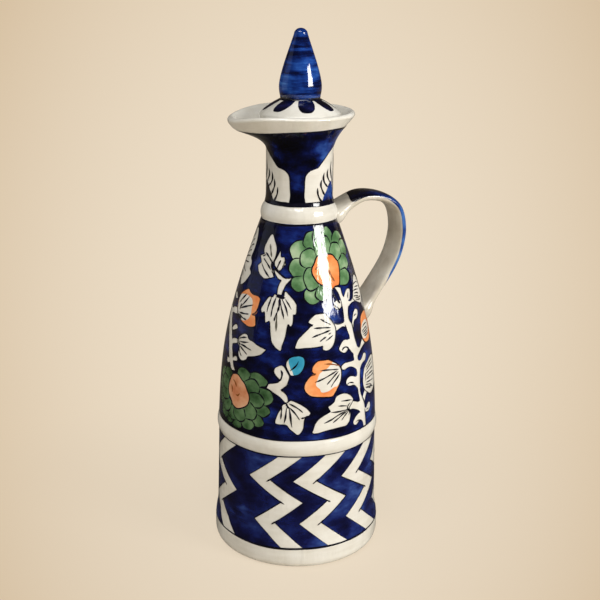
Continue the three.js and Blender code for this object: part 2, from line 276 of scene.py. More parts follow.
# The tilt darkens the blue towards -x and lightens it towards +x (the band also a little higher up): painted shade away
# from the window lamp, painted light towards it.
LOOKS = {
    "cobalt": dict(
        BROAD, painted_shade_tilt=(0.9, -0.1, 0),
        tones=".41 .001 .0012 .006 | .485 .002 .003 .026 | .55 .0035 .008 .08 | .615 .009 .027 .18 | .74 .03 .085 .34"),
    "neck": dict(
        stretch=(70, 70, 150), streak=0.45, roughness=0.07, blotch=80, painted_shade_tilt=(6, -0.5, 0),
        tones=".42 .0006 .0008 .003 | .50 .0012 .002 .018 | .56 .003 .009 .09 | .62 .012 .04 .22 | .72 .05 .13 .40"),
    "skirt": dict(
        BROAD, painted_shade_tilt=(0.8, 0, 0), tones=".36 .0022 .0023 .014 | .46 .0036 .0048 .042 | .54 .007 .013 .095 "
        "| .62 .018 .038 .18 | .73 .055 .115 .34"),
    "band": dict(
        stretch=(60, 190, 60), streak=0.65, blotch=80, painted_shade_tilt=(9, 0, -1),
        tones=".60 .0012 .0012 .006 | .68 .002 .003 .025 | .75 .005 .016 .11 | .83 .02 .07 .30 | .93 .07 .20 .50"),
    "navy": dict(
        stretch=(90, 90, 240), streak=0.6, blotch=60,
        tones=".42 .0012 .0012 .006 | .52 .002 .003 .02 | .62 .010 .013 .09 | .76 .045 .065 .28"),
    "green": dict(
        stretch=(150, 150, 150), streak=0.35, blotch=110,
        tones=".36 .05 .13 .045 | .47 .13 .26 .115 | .55 .25 .39 .21 | .66 .45 .55 .36"),
    "deep": dict(
        stretch=(160, 160, 160), streak=0.4,
        tones=".37 .012 .032 .010 | .5 .045 .11 .042 | .64 .15 .26 .12"),
    "orange": dict(FINE, tones=".34 .72 .17 .04 | .5 .85 .28 .085 | .66 .90 .46 .20"),
    "turquoise": dict(FINE, tones=".3 .02 .22 .36 | .5 .05 .36 .52 | .72 .25 .62 .72"),
    "rust": dict(FINE, tones=".36 .52 .15 .06 | .5 .70 .32 .16 | .64 .78 .48 .30"),
}
PAINTS = {name: glaze(f"{name}_glaze", **look) for name, look in LOOKS.items()}


# ---- the painting: shapes cut from a thin film that follows the surface ----


def read(text):
    """Points of an outline written as "angle,height" pairs. A pair that ends in ! is a sharp corner."""
    points, sharp = [], []
    for word in text.split():
        sharp.append(word.endswith("!"))
        a, z = word.rstrip("!").split(",")
        points.append((float(a), float(z)))
    return np.array(points), sharp


def soften(points, sharp, closed, rounds=2):
    """Corner-cutting, which keeps the sharp corners and the ends of an open line."""
    corners = [(np.array(p, float), s) for p, s in zip(points, sharp)]
    if not closed:
        corners[0], corners[-1] = (corners[0][0], True), (corners[-1][0], True)
    for _ in range(rounds):
        cut = []
        for (a, a_sharp), (b, b_sharp) in zip(corners, corners[1:] + corners[:1] if closed else corners[1:]):
            cut.append((a, True) if a_sharp else (0.75 * a + 0.25 * b, False))
            if not b_sharp:
                cut.append((0.25 * a + 0.75 * b, False))
            elif not a_sharp:
                cut.append((0.4 * a + 0.6 * b, False))
        corners = cut if closed else cut + corners[-1:]
    return np.array([p for p, _ in corners])


def outline(text):
    return soften(*read(text), closed=True)


def line(text):
    return soften(*read(text), closed=False)


def oval(a, z, wide, high, tilt=0, count=26):
    """An oval petal with a slightly uneven edge. wide is in degrees and high in millimetres."""
    t = np.linspace(0, 2 * np.pi, count, endpoint=False)
    wobble = 1 + 0.035 * np.sin(3 * t + a) + 0.03 * np.sin(5 * t + z)
    x = wide * np.sign(np.cos(t)) * np.abs(np.cos(t)) ** 0.9 * wobble
    y = high * np.sin(t) * wobble
    c, s = math.cos(math.radians(tilt)), math.sin(math.radians(tilt))
    return np.column_stack([a + (x * DEGREE * c - y * s) / DEGREE, z + x * DEGREE * s + y * c])


def petal(centre, half, tilt, heart):
    """An oval petal whose end towards the flower's heart is drawn out, so that it closes up with its neighbours."""
    middle = np.array(centre)
    v = (oval(*centre, *half, tilt) - middle) * (DEGREE, 1)
    inward = (np.array(heart) - middle) * (DEGREE, 1)
    inward /= np.hypot(*inward)
    along = v @ inward
    across = v - along[:, None] * inward
    along *= np.where(along > 0, 1.55, 1.0)
    return middle + (1.1 * across + along[:, None] * inward) / (DEGREE, 1)


def inside(poly, points):
    """Which points lie in a polygon."""
    low, high = poly.min(0), poly.max(0)
    hit = np.all((points >= low) & (points <= high), axis=1)
    if not hit.any():
        return hit
    x, y = points[hit, 0][:, None], points[hit, 1][:, None]
    a, b = poly, np.roll(poly, -1, axis=0)
    cross = (a[:, 1] > y) != (b[:, 1] > y)
    with np.errstate(divide="ignore", invalid="ignore"):
        at = (b[:, 0] - a[:, 0]) * (y - a[:, 1]) / (b[:, 1] - a[:, 1]) + a[:, 0]
    hit[hit] = (np.sum(cross & (x < at), axis=1) % 2) == 1
    return hit


def split(points, step):
    """A closed outline with its long edges split, so that they follow a round surface."""
    out = []
    for p, q in zip(points, np.roll(points, -1, axis=0)):
        count = max(1, math.ceil(max(abs(q - p) / step)))
        out += [p + (q - p) * k / count for k in range(count)]
    return np.array(out)


def film(zone, surface, box, ground, shapes, step, body, slot, squash=0.7):
    """Cuts the shapes, in painting order, out of the ground, and makes one piece for each paint.

    box: (angle, height) corners, outside which nothing is made. step: grid spacing in degrees and millimetres.
    squash: millimetres to a degree, where the triangles are made. Cream is the bare body.
    """
    (a0, z0), (a1, z1) = box
    scale = np.array([squash, 1.0])
    polygons = [(ground, np.array([(a0, z0), (a1, z0), (a1, z1), (a0, z1)])), *shapes]
    verts, faces = [], []
    for _, points in polygons:
        p = split(points, step) * scale
        x, y = p[:, 0], p[:, 1]
        if np.sum(x * np.roll(y, -1) - np.roll(x, -1) * y) < 0:
            p = p[::-1]
        faces.append(list(range(len(verts), len(verts) + len(p))))
        verts += [tuple(q) for q in p]
    grid_a = np.linspace(a0, a1, max(2, round((a1 - a0) / step[0]) + 1))
    grid_z = np.linspace(z0, z1, max(2, round((z1 - z0) / step[1]) + 1))
    gap = grid_a[1] - grid_a[0]
    for i, a in enumerate(grid_a):
        for j, z in enumerate(grid_z):
            within_edge = 0 < i < len(grid_a) - 1 and 0 < j < len(grid_z) - 1
            shift = 0.5 * gap * (j % 2) - 0.25 * gap if within_edge else 0
            verts.append(((a + shift) * squash, z))
    out = delaunay_2d_cdt([Vector(v) for v in verts], [], faces, 0, 1e-6)
    flat = np.array([tuple(v) for v in out[0]]) / scale
    by_paint = {}
    for face, owners in zip(out[2], out[5]):
        if 0 in owners:
            by_paint.setdefault(polygons[max(owners)][0], []).append(face)
    by_paint.pop("cream", None)
    for paint, tris in by_paint.items():
        used = sorted({v for t in tris for v in t})
        number = {v: i for i, v in enumerate(used)}
        tris = [[number[v] for v in t] for t in tris]
        at = flat[used]
        normals = normals_of(surface, at[:, 0], at[:, 1])
        points = surface(at[:, 0], at[:, 1]) + PAINT_LIFT * normals
        piece(f"{zone}_{paint}", points, tris, PAINTS[paint], body, slot, normals)


def resample(points, gap):
    """Even points along a line on the surface, about gap millimetres apart."""
    d = np.diff(points, axis=0) * (DEGREE, 1)
    along = np.concatenate([[0], np.cumsum(np.hypot(d[:, 0], d[:, 1]))])
    t = np.linspace(0, along[-1], max(2, int(round(along[-1] / gap)) + 1))
    return np.column_stack([np.interp(t, along, points[:, k]) for k in (0, 1)])


def ribbons(name, surface, radius, lines, material, body, slot, lift=INK_LIFT, hide=None):
    """Brush lines. lines: (points, width in mm, closed). hide(index, points) marks points to leave out."""
    verts, faces = [], []
    for index, (points, width, closed) in enumerate(lines):
        run = resample(np.vstack([points, points[:1]]) if closed else points, 0.7)
        shown = ~hide(index, run) if hide else np.ones(len(run), bool)
        ends = np.flatnonzero(np.diff(np.concatenate([[0], shown.astype(int), [0]])))
        for i, j in zip(ends[::2], ends[1::2]):
            if j - i < 3:
                continue
            part = run[i:j]
            per = np.radians(1) * radius(part[:, 1])
            mm = np.column_stack([part[:, 0] * per, part[:, 1]])
            tangent = np.gradient(mm, axis=0)
            tangent /= np.maximum(np.linalg.norm(tangent, axis=1), 1e-9)[:, None]
            side = np.column_stack([-tangent[:, 1] / per, tangent[:, 0]])
            t = np.linspace(0, 1, len(part))
            half = 0.5 * width * np.ones(len(part))
            if not (closed and i == 0 and j == len(run)):
                half *= np.clip(np.minimum(t, 1 - t) * 5, 0.12, 1) ** 0.6 * (1 + 0.28 * np.sin(9 * t + index))
            base = len(verts)
            for p, h, s in zip(part, half, side):
                verts += [p - h * s, p + h * s]
            faces += [[a, a + 2, a + 3, a + 1] for a in range(base, len(verts) - 2, 2)]
    at = np.array(verts)
    normals = normals_of(surface, at[:, 0], at[:, 1])
    points = surface(at[:, 0], at[:, 1]) + lift * normals
    a, b, c = (points[[f[k] for f in faces]] for k in (0, 1, 2))
    wrong = np.einsum("ij,ij->i", np.cross(b - a, c - a), normals[[f[0] for f in faces]]) < 0
    faces = [f[::-1] if w else f for f, w in zip(faces, wrong)]
    piece(name, points, faces, material, body, slot, normals)


def zone(name, low, high, ground, shapes, lines, step):
    """One painted zone of the bottle: its films and its brush lines.

    shapes: (paint, outline, edge width, group). An edge is hidden by later shapes, and by its own group's.
    lines: (kind, points, width, index of the shape below it). A line is hidden by the shapes after that one.
    """
    box = np.array([(SEAM, low), (SEAM + 360, high)])
    # None for each shape that lies outside the zone.
    shapes = [s if np.all(s[1].max(0) > box[0]) and np.all(s[1].min(0) < box[1]) else None for s in shapes]
    film(name, body_surface, box, ground, [s[:2] for s in shapes if s], step, "bottle", "painted_glaze")
    strokes = [("ink", s[1], s[2], True, k) for k, s in enumerate(shapes) if s and s[2] > 0]
    strokes += [(kind, points, width, False, k) for kind, points, width, k in lines]
    for kind, material, lift in (("wash", WASH, WASH_LIFT), ("ink", INK, INK_LIFT), ("brown", BROWN, INK_LIFT)):
        some = [s for s in strokes if s[0] == kind]

        def hide(index, run):
            _, _, _, closed, order = some[index]
            out = np.any((run < box[0] + 0.01) | (run > box[1] - 0.01), axis=1)
            paint, _, _, group = shapes[order] if closed else (None,) * 4
            for k, s in enumerate(shapes):
                if s and (k > order or (k != order and group is not None and (s[0], s[3]) == (paint, group))):
                    out |= inside(s[1], run)
            return out

        if some:
            runs = [s[1:4] for s in some]
            label = f"{name}_{kind}"
            ribbons(label, body_surface, outer_radius, runs, material, "bottle", "painted_glaze", lift, hide)


def around(shapes, turns):
    """The same shapes again, turned about the bottle."""
    return [(s[0], s[1] + (turn, 0), *s[2:]) for turn in turns for s in shapes]


# ---- the bottle's body ----

profile = path((0, 0), OUTER, RIM[1:], INNER[1:], (0, 6))
points, faces = lathe(profile, 240)
piece("bottle_glazed_body", pull_lip(points), faces, CREAM, "bottle", "painted_glaze", replaces=("bottle_body",))

# Zigzag stripes on the skirt.
ZIG_STARTS = (-62, -10.5, 22, 57, 91.4, 125.9, 160.3, 194.7, 229.1, 263.6)
ZIG_HEIGHTS = (62.5, 48.2, 36.5, 24.8, 10.0)
ZIG_LEFT = (0, -24.5, 0, -20, 3)
ZIG_RIGHT = (16, -8, 15.5, -4.5, 18)
# Where the brush ran past a corner: the corner, and the way that the stroke came.
ZIG_OVERSHOOTS = ((-8, 48.2, -2.6, -1.5), (-4.5, 24.8, -2.4, -1.4), (0, 36.5, 2.4, -1.1))
zigzags, overshoots = [], []
for start in ZIG_STARTS:
    left = [(start + a, z) for a, z in zip(ZIG_LEFT, ZIG_HEIGHTS)]
    right = [(start + a, z) for a, z in zip(ZIG_RIGHT, ZIG_HEIGHTS)]
    zigzags.append(("cream", soften(left + right[::-1], [True] * 10, closed=True), 0.5, None))
    for a, z, da, dz in ZIG_OVERSHOOTS:
        stroke = np.array([(start + a - da, z - dz), (start + a, z), (start + a + da, z + dz)])
        overshoots.append(("ink", stroke, 0.7, ON_TOP))
zone("skirt", 10.7, 61.7, "skirt", around(zigzags, (-360, 0, 360)), overshoots, (3, 3))

# The neck: large cream leaves with a blue wedge and strokes in each half.
HALF_LEAF = """76.5,184.4 79,187.8 78,191.4 78,195 76.8,197.9 70.2,200 62,200.8 54.5,201.2 48.3,203.1 39.5,205.4
  28,208 18,209.5 8,210.8"""
WEDGE = "-46,184! -42.5,185.8 -39.5,187.6 -33,189.6 -29,192.2 -22,193.4 -19,193.8! -13,191.8 -10,188.5 -6,184.4!"
NECK_TOP = """-90,220.6 -76,220.3 -64,219.75 -55,218.8 -46,218.4 -37,218.2 -24,218.35 -8,218.75 7.5,219.1 25,219.3
  42.5,219.7 54,219.8 75,219.55 95,219.3 120,219 150,218.6 180,218.7 210,219.1 240,219.5 255,220.2 270,220.6"""
NECK_STROKES = (
    "-19.5,203.2 -22.8,200.3 -19,196.4 -13,192.4",
    "-30.2,200 -33.5,197.7 -30,195.3 -23,193",
    "-40.4,198.6 -43,196 -40,193.5 -31,191.2",
    "-46.5,195.2 -48.5,192.6 -44.5,189.9 -39,187.4",
    "-54.6,191.4 -54.2,188.4 -49.5,185.6 -43.6,183.6",
    "-5,206 -7,199 -6,190 -7,184.6",
)
half, _ = read(HALF_LEAF)
leaf = np.vstack([half, [(0, 211.2)], half[::-1] * (-1, 1)])
leaf = soften(leaf, [k in (0, len(leaf) - 1) for k in range(len(leaf))], closed=True)
neck_shapes, neck_lines = [], []
for centre in NECK_LEAVES:
    neck_shapes.append(("cream", leaf + (centre, 0), 0.5, None))
    for side in (1, -1):
        neck_shapes.append(("neck", outline(WEDGE) * (side, 1) + (centre, 0), 0, None))
        for text in NECK_STROKES:
            neck_lines.append(("ink", line(text) * (side, 1) + (centre, 0), 1.0, ON_TOP))
under_rim = np.vstack([[(-100, 222), (-100, 220.6)], line(NECK_TOP), [(280, 220.6), (280, 222)]])
neck_shapes.append(("cream", under_rim, 1.0, None))
zone("neck", 182.4, 221, "neck", neck_shapes, neck_lines, (4, 1.2))

# The garden's motifs, as angle and height. Blank lines part the groups, and a slash parts motifs of a kind.
# A single number before ink, brown or wash points is the brush's width. A green petal has its centre, half sizes
# and tilt.
GARDEN = """
cream: -57.4,148.4! -59.5,149.9 -62.5,150.2 -61,152.6 -62.6,154.4 -67.5,155.4 -65.2,158.5 -64.6,162 -66.2,165.8
 -70.5,168.6 -76,170.3 -81.5,169 -86,165 -88.5,160 -88,154.5 -86,149 -81,144.5 -75,140.6 -70,141.2 -64.5,143.4
 -60,146.2
ink: -84,152 -76,152.4 -68,153 / -84,150 -76,148.6 -70,148 / -82,147.5 -75,145.5 / -84,156 -78,158 -72,158.6 / -84,158
 -76,161 -69,161.8 / -85,160 -79,163 -73,164.4 / -85,163 -80,166 -76,167.6 / -86,154 -77,155.4 -70,156

cream: -64,130.6! -69,130.5 -75,129.6 -81,127 -85,122! -82,121! -78,125.2 -73,126.8 -66,127 -62,127.6! / -85,123
 -80,121.5 -75,118.5 -70,114 -66.5,108.5 -62.5,103.5 -58,99.6! -52.5,100.2! -55.5,102.2 -58,106 -60.3,110.4 -64,115.6
 -68.5,120.6 -73.5,125.3 -79,128.6 -84,129.6 -87.6,128 -88.4,125 / -67.5,119.8! -64.5,122 -61,123 -58.4,122.4
 -57.4,121! -60.5,119.9 -65.5,118.7! / -65,113.8! -61,116 -57,116.4 -54.4,115.8! -54.6,114.2! -57,113.4 -60,113
 -63.5,111.8! / -58.5,105.4! -56,107.4 -53.6,108.1 -51.4,107 -51.6,105.6! -54,105 -57,104.8! / -68,104.8 -64,105
 -61.5,103.8! -63,102.2 -66.5,101.6 / -70.2,134.4! -74,136.2 -80,137 -84,135.5 -80,133.8 -74,133.4

green: 0,163 10.8,4 5 / -1,154.7 9.4,4.1 / -0.5,147.2 7,3.3 / 15.5,167.3 9.5,3.8 5 / 13,141.2 7.8,3.4 / 28,168.5 9,4.6
 / 41.5,169.2 7.6,3.4 / 60,166.3 11,3.2 / 67,161 8.5,3.8 / 59,154.6 9.8,3.7 / 54,147.6 8.8,3.5 10 / 22.5,142 6,3.2 /
 11,158.8 9.3,4.3 / 12.5,149.4 7.2,4.9 / 36.5,164.6 6,3.8 / 26,164 7,4.2 / 50.5,160.9 8.9,3.7
orange: 13.8,153.3! 15,155 17,156 20,159.1 23.3,160 35,160 40,159.8 43.3,159.1 46,157.2 48.7,156 49.2,153.7 48,151
 46.3,148.3 44.7,145.6 42.7,144.5 38.3,144.7 35,143.5 32.7,143.3 30,144.5 24,146 21.7,146.4 18.3,147.9 15.7,150.2
 14.2,151.4
brown: 1.1 33,153 35,150.5 36.7,148.5 38.5,147 / .8 18,153.5 23,155.5 27,155

deep: -29.5,99.8 7.6,3.1 -8 / -43,100.8 6,3 / -23,91.6 6,4 / -24.7,84.2 5.6,2.9 / -28,78 4.3,2.8 / -37,75.2 5.4,2.9 /
 -48,73.3 5,2.4 / -57,74.5 5,2.6 / -53,77.5 5,3.2 / -64,76.5 5.5,3.4 / -70,83 5.5,3.4 / -72,89.5 5.5,3.4 / -70.5,95.5
 5.5,3.4 / -62,97 5.5,3.4 / -62,80.5 5.5,3.4 / -66,86 5.5,3.4 / -66,92 5.5,3.4 / -34,95.3 6.3,3.7 / -29.5,88.9 5.6,3.5
 / -35,81.9 5.4,3.9 / -45,78.7 5.6,3.4
rust: -55.3,98.5 -51.7,99.2 -49,99.3 -46.7,98.5 -45,97.5 -41.7,96.3 -39.7,94.6 -38,92.3 -36.7,91.2 -35.8,89 -36.7,86.2
 -38.3,84.6 -41.7,83.1 -45,81.9 -48.3,81.2 -51.7,81.9 -53.3,82.5 -55,84.6 -58.3,86.5 -59.7,88.5 -60,90.4 -59.3,93.1
 -57.3,96.2
brown: 1 -54,95.5 -51,94.5 -49.5,92.5 / .9 -50,88.6 -48,88 -45.5,89.8 / .9 -56,92.5 -54,90.5 -54.5,88.6

cream: -26,161.6 -28.3,164.3 -30.7,165.7 -33.3,167.3 -35.3,168.7 -38.3,169.3 -41.7,167.8 -44,165.3 -46.2,162.6
 -45,159.9 -43,159.4! -45.5,159 -49.4,158.2! -47.3,156.8 -45,155.3! -46,155 -49.6,153.4! -48,152.2 -46.5,150.7
 -43.3,149.4 -40,148.6 -36.7,147.9 -33.3,148.2 -30,148.7 -26.5,149.2 -25,150.2 -27,152.5 -28.8,154.8 / -27.8,156.6!
 -25.6,158.6 -23.3,160.9 -22,162.6! -21.3,161.8 -20.3,159.1! -18.7,159.2 -16,159.4 -15.2,157.9 -13.8,155.7! -15.3,155.2
 -17.3,154.1 -19,152.9 -20.3,152.6 -22.7,152.8 -24,153.8 -26.7,154.8! / -26.7,153.4! -25,152.9 -22.5,152.2 -20,151.4
 -16.7,150.4 -13.3,149.8 -10,149.5 -7.5,149.9 -4.7,150.7! -6.8,149.4 -8,148.7 -10,147.5 -12.3,146.4 -13.3,144.8
 -14.8,143.3 -15.3,141.6! -20,141.7! -20.3,143.4 -19.9,145.3 -18.8,147.2 -17,148.4! -19.5,148.7 -21.5,149.2 -24,150.6
 -26,152
wash: .9 -37.8,164.3 -35.2,161.6 -32.3,158.5
ink: .9 -42,160.2 -36.3,158.7 -30.8,156.3 / .7 -45.4,158.3 -42.9,158.3 -41.3,159.3 / .8 -42.9,157.3 -35.5,155
 -30.3,152.6 / .8 -44.1,154.8 -39.4,152.4 -34.3,150.4 -29.9,148.8 / 1.6 -30.9,157 -29.7,154.9 -28.4,152.2 / .9
 -23.2,162.7 -24.9,160.3 -27.7,157.8 -29.4,155.9 / .8 -20.2,157.7 -21.9,155.8 -23.6,153.6
wash: .9 -15.4,157.5 -16.1,155.6 -17.3,153.9
ink: 1 -27.6,154.8 -22,152.6 -17,150.5 -11.6,149.4 / .8 -29,152.2 -25.9,150.5 -24.3,149

cream: -20,141.4! -21.8,142 -22.7,141.8! -24,140.2! -26.7,140.8 -29,139.7! -30.3,138.3 -31.7,137.2 -33.7,135
 -34.2,133.9! -33,132.2 -31.7,132.2 -30.3,133.1! -29.5,131.8 -28.3,127.9! -26.7,127.9 -25,128.9! -24,128.9 -23.3,126.4
 -22.3,122.4 -21,119.2 -19.3,117.9 -16.7,116.3 -13.3,115.2! -12.5,115.6 -12,118.1! -10.3,120.8 -9.3,123.8 -9,126
 -8,128.5! -6.7,127.3 -5.3,127.2 -4.2,128.3 -3.8,130.6 -4,132.9! -2.3,132.7 -1.2,133.3 -1,137.5! -1.7,138.1 -3.3,139.5
 -5.7,140.8 -8.3,142.2 -12,143.9 -13,143.3 -13.3,141!
ink: 1.2 -20.5,141 -16,140.4 -11.7,140.6 / 1 -13.7,144.1 -13.7,141.1 / .8 -24.9,140.7 -26.1,137.8 -27.4,135.4 -27.7,133
 / .9 -20.4,140.6 -22.1,137.6 -23.2,134.3 -23.4,131 / 1.2 -16.9,140.3 -16.7,136.6 -18,133.7 / .8 -18,133.7 -19.8,131.2
 -20.3,129.1
wash: 1 -18.3,132.7 -18.1,129 -17.8,124.5
ink: .8 -16.7,139.4 -14.7,135.7 -13,133 -11.8,130.5 / .8 -15,140.1 -12.3,137.7 -10.2,135.4 -8.5,132 / .65 -11.7,140
 -8.6,137.8 -5.8,135.3

cream: -2.3,117! -1.7,118.5 -0.3,121.2 1.7,122.5 5,124.5 8.3,126.2 10,127.3 12.7,127.9! 10,128.5 8.3,129.3! 9.3,130.4
 11.7,131.6 14.3,132.9 18.3,133.1 23.3,133.1 25,132.2 28.3,129.8 31,127.5 32.3,125.2 32,123 30,118.5 27,116 23.3,114.9
 19,115.6 19.7,117.7! 16.3,117.3 11.7,117.1 5,117.1 0,116.7
ink: .75 18.7,130.6 21.3,129.7 24.7,128.5 27.8,127.3 / .8 13.1,126.4 18.2,126.3 23.4,126.2 27.5,125.9 / .8 11.2,122.1
 16.2,123.1 23.1,124.1 27.3,124.8 / .75 17.5,119.9 20.1,121 23.2,121.9 / .65 25.1,122.8 27.5,123.4 / .6 22.5,119.9
 25.3,120.8 29.1,122.2 / 1 8.6,127.4 12,128.2

orange: 10.7,107.7 11.7,108.8 13.7,110.2 16.3,111 20,110.8 23.3,111 25,110.4 27,109.6 30,108.5 32.7,106.9 34,105
 34.2,103.1 33.7,100.4 32.7,98.5 30.3,95.8 28.3,93.8 26.3,91.9 23.3,91.8 20,92.1 15.7,92.4 10,93 7.7,94 5.3,95.8
 4.5,98.1 5.3,100 6.7,101.5 8.3,102.9 10.3,104 13.3,104! 10.7,105 10.3,106.5
bare: 13.7,100 13.2,98.6 15,97.3 16.4,96.6 17,94.8 20,94.6 23.3,95.1 26,96.3 28.3,96.8 29.8,96.6 32.5,98.5 33.6,100.6
 34,103.2 33.9,105 32.6,106.8 30,108.4 27,109.4 25.5,108.2 22,106.3 18,105.2 16,104.2 14.7,101.9
brown: .75 19.9,108.9 24.7,108.5 29.6,107.6 33.1,106.8
ink: .75 16.6,105.7 21.2,105.8 26.9,105.5 31.5,105.2 / .75 12.7,100.2 17.9,101.3 24.2,103 30.2,104.6 / .75 21.6,98.5
 24.9,100.5 28.3,102.6 31.4,104.2 / .7 24.7,96.9 27.2,99.2 29.9,100.9 32.5,103.1
brown: 1 10.5,103.8 13.5,104.6

cream: 10.3,74.6! 11,75.4 11.7,77.3 12.7,79.2 15,81.2 18.3,82.7 21.7,83.7 24,84.4! 22.3,86.2 22,87.1! 25,88.1 27.3,89.2
 27.7,91.2 30,92.3 35,92.7 38.3,91.9 41.7,90.4 44,88.1! 43.7,87.1 39.5,84! 41.3,80.8 40,76.9 38.7,76 36.7,74.8
 33.4,75.1 28.3,75 23.3,74.8 18.3,74.4 15,73.7 11,73.8
ink: .75 32.6,88.7 37.9,88.2 42.7,87.8 / .75 30,86.5 34.2,86 37.8,85.4 / .8 24.3,83.9 29.1,83.5 35.9,83.5 40.5,83.2 /
 .8 19,78.7 24.3,79.9 29.9,81.8 36.3,83 / .75 25.8,78.3 29.9,80 34.1,81.7 38.2,82.9 / .7 32.8,78.6 34.9,80.2 38.9,82.5
 / .9 40.7,86.6 38.2,85.2 38.2,83.6 40.5,81.9 39,80.3

cream: -8.7,109.2 -8,110.8 -6.7,111.9 -5,112.9 0,113.5 1.7,113.5 4.3,112.9 5.3,111.9 5.5,110 5,108.1 3.3,105.8 1,104.2
 -1.7,103.8 -5,103.5 -5.3,104.2 -6.7,105.8 -8.3,107.7
turquoise: -6.7,111.5 -6.5,110 -5.8,108.5 -5,107 -3.3,105.5 -3,104 -1.7,103.9 1,104.3 3.3,105.9 4.9,108.1 5.4,110
 5.2,111.8 4.3,112.8 1.7,113.4 0,113.4 -5,112.8
ink: .8 -5.5,106.1 -2.6,107.6 -0.4,109.1 0.7,110.8 / .9 -10,108.6 -7.7,106.4 -6.1,104.5 -4.8,102.8

cream: -10.3,108.3 -12.3,108.5 -15,107.7 -16.7,107.1 -17.7,105.4 -16.7,103.8 -14.7,102.3 -13,101.5 -13.3,100.4
 -14.7,99.8 -18.3,99.2 -21.3,98.8 -21.5,97.7 -22.7,96.3! -20,95.8 -17.3,94.6 -15,93.7 -12.3,92.7 -10,91.2 -8.3,90
 -6.7,90.2! -6.5,92.7 -8,94.6 -10,95.8 -11.7,96.1! -9,97.7 -7,98.8 -6.7,100.4 -5.7,102.3 -5.7,103.5 -6.7,104.6
 -8.7,106.9
ink: 1 -12.3,106.2 -11,105 -11.3,102.3 -13.3,100.4
cream: -8,89.6 -10,89.2 -10.7,88.1 -11.3,86.9 -13.3,84.6 -15,81.2 -15.5,79.2! -14.7,78.5 -11.7,78.3 -8.3,78.7 -6.7,78.1
 -5.3,76.5 -3.3,75.4 -1.3,74.2 0,73.3 0.7,73.3 2.3,73.8 4,75.8 4.8,77.3 5,80.8 5.7,82.3 7.7,82.9 9,83.8 9.7,84.8!
 8.3,86.2 6.3,87.7 1.7,89.8 -3.3,91.3 -4.7,91.5 -5.7,90.8
ink: 1.2 -7.5,89.6 -6.7,87.9 -5.7,87.2 / .8 -10.6,87.7 -10.9,85.1 -11.3,81.2 / .9 -7.4,87.3 -7.7,83.7 -8.3,81.1 -9,79.2
 / 1 -5.4,87.4 -4.5,82.8 -4.1,80.2 -3.4,77.4 / .8 -5.7,87.9 -2.8,86 -0.4,83.9 1.9,81.3 / .8 -5.7,89.7 -2.2,88.5 1.3,87
 4,85.2 / .9 2.7,82.1 5.5,82.5 7.9,83.4

cream: -55,116.2! -53.3,117.7 -50,119.6 -47.3,120.4 -44,120.4 -43,119.2! -41.7,118.3 -38.3,117.9 -36.7,117.7
 -33.3,116.7 -28.3,115.8 -24.3,115.2! -26.7,113.5 -28.3,112.3 -31.7,111.2 -36.7,110.2 -41.3,109.6 -41,108.5 -43.3,107.3
 -46.7,106.5 -49.7,107.5 -51.3,108.8 -51.7,110.8 -50.3,113.1 -53.3,113.8 -54.3,114.6
ink: 1 -53.8,117.3 -53.2,115.4 -50.9,113.8 / .8 -52.9,116.9 -48.7,118.1 -44.2,118.8 / .8 -51.7,115.7 -46.7,115.9
 -41.8,116.7 / .85 -51.2,114.5 -46.1,114.4 -41.5,113.7 -37.8,113.3 / .8 -50.8,113.6 -46.6,112.3 -41.7,110.6 / .7
 -51.8,112.6 -49.7,110.5 -47.4,108.8

orange: -62,139.5 -58,140.8 -54,141.8 -51.5,141 -49.8,140.2 -45,139.6 -40,139.8 -36.5,138.8 -36.3,137.5 -37,135
 -38,132.5 -40,131 -43,130.2! -38.7,130.5 -37.5,128 -36.5,125.2 -40,124.2 -45,123.8 -50,124.6 -54,125.2 -57,126.2
 -61,127 -63.5,128.5 -66,130.5 -68,134 -66,137 -64,138.5
bare: -65,137.5 -60,138.2 -55,138.6 -50,138.2 -46.5,137.5 -44.5,136 -44.5,133 -44,130.5 -45,128.5 -47,127 -52,125.8
 -56,126 -61,127.2 -64,129 -66,131.5 -67,134.5
ink: .9 -60.8,130.3 -60.6,132.1 -59.7,133.3 / .9 -64,133.3 -60.3,135.9 -54.7,138.9 / .9 -60.1,131.7 -55.4,134.6
 -50.1,138.1 / .9 -61.3,130.8 -52.6,132.9 -43.3,134.8 / .85 -60.6,128.9 -53.2,129.2 -46.8,129.9 / .85 -59.9,128.2
 -54.1,127.1 -48.2,126.8 / .8 -61.8,128.1 -59.2,127.3 -55.2,126.4
brown: 1.2 -42.2,130 -38.8,131.4 -37.5,132.5
"""
